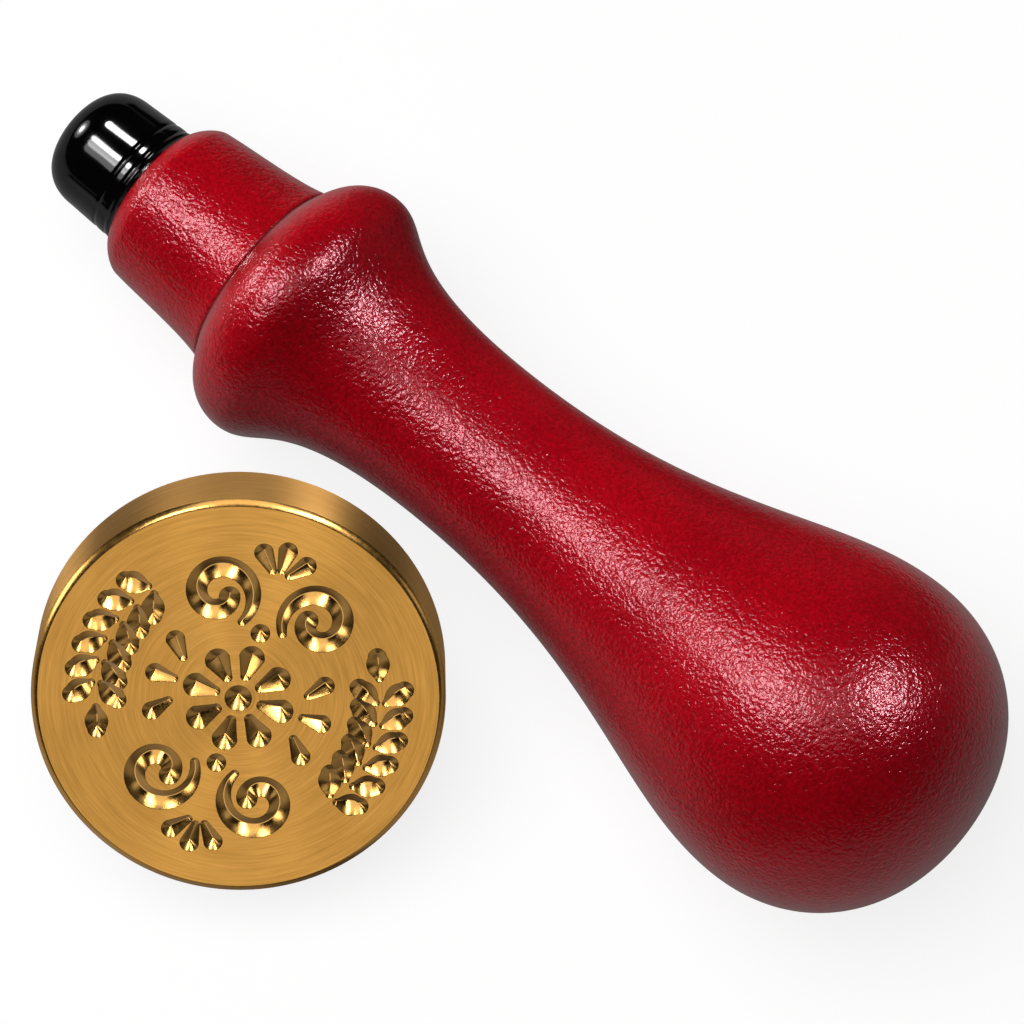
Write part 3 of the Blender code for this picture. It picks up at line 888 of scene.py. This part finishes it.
def axis_coordinates(tree, coordinates, axis):
    """Coordinates about a piece's own axis, from those of the whole frame."""
    settings = {"Vector": coordinates, "Location": axis.translation, "Rotation": axis.to_euler()}
    return add_node(tree, "ShaderNodeMapping", settings, vector_type="TEXTURE").outputs[0]


def tool_lines(tree, coordinates):
    """Fine uneven lines round the head's axis, on its flat faces and on its sides alike."""
    parts = add_node(tree, "ShaderNodeSeparateXYZ", {0: coordinates}).outputs
    flat = add_node(tree, "ShaderNodeCombineXYZ", {0: parts[0], 1: parts[1]}).outputs[0]
    radius = vector_node(tree, "LENGTH", flat, output="Value")
    across = math_node(tree, "MULTIPLY_ADD", parts[2], SIDE_LINE_SHARE, radius)
    stretched = [math_node(tree, "MULTIPLY", across, LINES_PER_METRE)]
    stretched += [math_node(tree, "MULTIPLY", part, STROKES_PER_METRE) for part in parts[:2]]
    place_in_lines = add_node(tree, "ShaderNodeCombineXYZ", dict(enumerate(stretched))).outputs[0]
    return noise_value(tree, place_in_lines, *LINE_NOISE, Roughness=LINE_ROUGHNESS)


def round_tangent(tree, coordinates, axis):
    """The direction of turning at each place: round the head's axis."""
    away = vector_node(tree, "SUBTRACT", coordinates, axis.translation)
    around = vector_node(tree, "CROSS_PRODUCT", axis.col[2].xyz, away)
    spaces = {"vector_type": "VECTOR", "convert_from": "OBJECT", "convert_to": "WORLD"}
    turned = add_node(tree, "ShaderNodeVectorTransform", {0: around}, **spaces).outputs[0]
    return vector_node(tree, "NORMALIZE", turned)


def turned_brass_material(name, axis, colours, spread, relief):
    """Turned brass: gold metal with tool lines round its axis that spread its gloss across them."""
    material, tree, shader, coordinates = new_material(name)
    lines = tool_lines(tree, axis_coordinates(tree, coordinates, axis))
    clouds = noise_value(tree, coordinates, *BRASS_CLOUDS)
    shade = blend(tree, lines, clouds, LINE_SHARE)
    set_inputs(tree, shader, {
        "Base Color": mixed_colour(tree, remap(tree, shade, NOISE_RANGE, FULL_RANGE), *colours),
        "Roughness": remap(tree, shade, NOISE_RANGE, TURNED_ROUGHNESS),
        "Normal": bump(tree, lines, relief),
        "Metallic": 1.0,
        "Anisotropic": spread,
        "Anisotropic Rotation": ACROSS,
        "Tangent": round_tangent(tree, coordinates, axis),
    })
    return material


def cut_brass_material():
    """Brass as the engraving cutter leaves it: brighter and smoother than the turned face."""
    material, tree, shader, coordinates = new_material("turned_brass_cut")
    chatter = noise_value(tree, coordinates, *CUT_CHATTER)
    clouds = noise_value(tree, coordinates, *CUT_CLOUDS)
    set_inputs(tree, shader, {
        "Base Color": mixed_colour(tree, clouds, *CUT_COLOURS),
        "Roughness": remap(tree, chatter, NOISE_RANGE, CUT_ROUGHNESS),
        "Normal": bump(tree, chatter, CUT_RELIEF),
        "Metallic": 1.0,
    })
    return material


def painted_gloss_shade(tree, place_on_floor):
    """How pale the floor is in gloss, a painted reflection: along the handle, wider away from the waist, and
    by the head.
    """
    parts = add_node(tree, "ShaderNodeSeparateXYZ", {0: place_on_floor}).outputs
    aside = math_node(tree, "ABSOLUTE", math_node(tree, "SUBTRACT", parts[1], HANDLE_Y))
    from_waist = math_node(tree, "SUBTRACT", parts[0], STRIP_WAIST)
    flare = math_node(tree, "MULTIPLY", math_node(tree, "POWER", from_waist, 2.0), STRIP_FLARE)
    strip = remap(tree, math_node(tree, "SUBTRACT", aside, flare), STRIP_EDGE, STRIP_SHADE)
    from_patch = vector_node(tree, "DISTANCE", place_on_floor, PATCH_PLACE, output="Value")
    patch = remap(tree, from_patch, PATCH_EDGE, PATCH_SHADE)
    return math_node(tree, "MAXIMUM", strip, patch)


def floor_material():
    """A matt floor, white to the camera but for the shadow; in gloss a painted reflection, dark but for its
    pale places, which glow.
    """
    material = bpy.data.materials.new("pale_floor")
    material.use_nodes = True
    tree = material.node_tree
    tree.nodes.clear()
    place_on_floor = add_node(tree, "ShaderNodeNewGeometry").outputs["Position"]
    path = add_node(tree, "ShaderNodeLightPath").outputs
    gloss = math_node(tree, "MAXIMUM", path["Is Glossy Ray"], path["Is Transmission Ray"])
    pale = painted_gloss_shade(tree, place_on_floor)
    bounce = remap(tree, path["Is Diffuse Ray"], FULL_RANGE, (FLOOR_COLOUR, FLOOR_BOUNCE))
    shade = add_node(tree, "ShaderNodeMix", {0: gloss, 2: bounce, 3: pale}).outputs[0]
    reach = vector_node(tree, "LENGTH", place_on_floor, output="Value")
    lift = remap(tree, reach, FLOOR_REACH, FLOOR_LIFT)
    seen = math_node(tree, "MULTIPLY", path["Is Camera Ray"], lift)
    # Painted glow: glossy rays see the floor give light of its own, more on its pale places
    painted_gloss_glow = math_node(tree, "MULTIPLY_ADD", pale, GLOSS_GLOW, GLOSS_LIFT)
    glow = math_node(tree, "MULTIPLY_ADD", gloss, painted_gloss_glow, seen)
    matt = add_node(tree, "ShaderNodeBsdfDiffuse", {"Color": shade})
    light = add_node(tree, "ShaderNodeEmission", {"Color": WHITE, "Strength": glow})
    both = add_node(tree, "ShaderNodeAddShader", {0: matt.outputs[0], 1: light.outputs[0]})
    add_node(tree, "ShaderNodeOutputMaterial", {"Surface": both.outputs[0]})
    return material


def add_floor():
    """The floor that the part lies on."""
    half = 0.5 * FLOOR_SIZE
    mesh = bpy.data.meshes.new("floor")
    corners = [(x, y, -FLOOR_DROP) for x, y in ((-half, -half), (half, -half), (half, half), (-half, half))]
    mesh.from_pydata(corners, [], [(0, 1, 2, 3)])
    mesh.materials.append(floor_material())
    floor = bpy.data.objects.new("floor", mesh)
    bpy.context.scene.collection.objects.link(floor)


def add_camera(axis):
    """The photograph's camera, placed so that the aim point on the handle's axis lands on its pixel."""
    turn = CAMERA_AZIMUTH
    tilt = CAMERA_ELEVATION
    right = Vector((math.cos(turn), math.sin(turn), 0.0))
    back = Vector((math.sin(turn) * math.cos(tilt), -math.cos(turn) * math.cos(tilt), math.sin(tilt)))
    up = back.cross(right)
    per_pixel = CAMERA_DISTANCE / FOCAL_PIXELS
    aim = axis @ Vector((0.0, 0.0, AIM_STATION))
    middle = 0.5 * IMAGE_SIZE
    offset = right * (AIM_PIXEL[0] - middle) + up * (middle - AIM_PIXEL[1])
    matrix = Matrix((right, up, back)).transposed().to_4x4()
    matrix.translation = aim - offset * per_pixel + back * CAMERA_DISTANCE
    data = bpy.data.cameras.new("camera")
    data.sensor_width = SENSOR_WIDTH
    data.lens = SENSOR_WIDTH * FOCAL_PIXELS / IMAGE_SIZE
    camera = bpy.data.objects.new("camera", data)
    camera.matrix_world = matrix
    bpy.context.scene.collection.objects.link(camera)
    bpy.context.scene.camera = camera


def add_softbox(name, direction, size, radiance, lit, seen_by):
    """An oval light that faces the part, unseen by the camera, for some of the pieces."""
    data = bpy.data.lights.new(name, "AREA")
    data.shape = "ELLIPSE"
    data.size, data.size_y = size
    data.energy = radiance * math.pi * size[0] * size[1] * OVAL_SHARE
    light = bpy.data.objects.new(name, data)
    back = Vector(direction).normalized()
    up = back.cross(Vector((1.0, 0.0, 0.0))).normalized()
    matrix = Matrix((up.cross(back), up, back)).transposed().to_4x4()
    matrix.translation = back * LIGHT_DISTANCE
    light.matrix_world = matrix
    light.visible_camera = False
    light.visible_diffuse, light.visible_glossy = seen_by
    # A light that gloss does not see is not hit by chance either, which would lay a veil on the lacquer
    data.cycles.use_multiple_importance_sampling = light.visible_glossy
    bpy.context.scene.collection.objects.link(light)
    receivers = bpy.data.collections.new(name + "_lit")
    for piece in lit:
        receivers.objects.link(bpy.data.objects[piece])
    light.light_linking.receiver_collection = receivers


def add_world():
    """A dark room round the lights."""
    world = bpy.data.worlds.new("studio")
    bpy.context.scene.world = world
    world.use_nodes = True
    background = world.node_tree.nodes["Background"]
    set_inputs(world.node_tree, background, {"Color": WHITE, "Strength": ROOM_LIGHT})


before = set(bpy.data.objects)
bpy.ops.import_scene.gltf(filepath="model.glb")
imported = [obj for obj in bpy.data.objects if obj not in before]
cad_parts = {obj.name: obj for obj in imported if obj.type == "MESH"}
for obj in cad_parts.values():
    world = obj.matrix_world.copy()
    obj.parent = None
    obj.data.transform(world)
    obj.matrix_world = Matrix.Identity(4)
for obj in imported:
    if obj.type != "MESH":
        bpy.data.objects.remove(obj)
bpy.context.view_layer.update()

handle_axis = handle_matrix()
head_axis = head_matrix()
lacquer = [lacquer_material()]
brass = [
    turned_brass_material("turned_brass_face", head_axis, FACE_COLOURS, FACE_SPREAD, FACE_RELIEF),
    cut_brass_material(),
    turned_brass_material("turned_brass_rim", head_axis, RIM_COLOURS, RIM_SPREAD, RIM_RELIEF),
]
handle = place("handle_body", handle_mesh(), handle_axis, lacquer, "handle", "handle")
place("stud_rod", stud_mesh(), handle_axis, [zinc_material()], "handle", "threaded_stud")
place("cap_shell", cap_mesh(), handle_axis, [vinyl_material()], "cap", "stud_cap")
head = place("head_body", head_mesh(), head_axis, brass, "head", "stamp_head")

# Handle and head stay out of all reflections, and the head's bounced light stays off the lacquer
handle.visible_glossy = False
head.visible_glossy = False
head.visible_diffuse = False

add_floor()
add_camera(handle_axis)
for softbox in SOFTBOXES:
    add_softbox(*softbox)
add_world()
bpy.context.scene.view_settings.view_transform = "Standard"
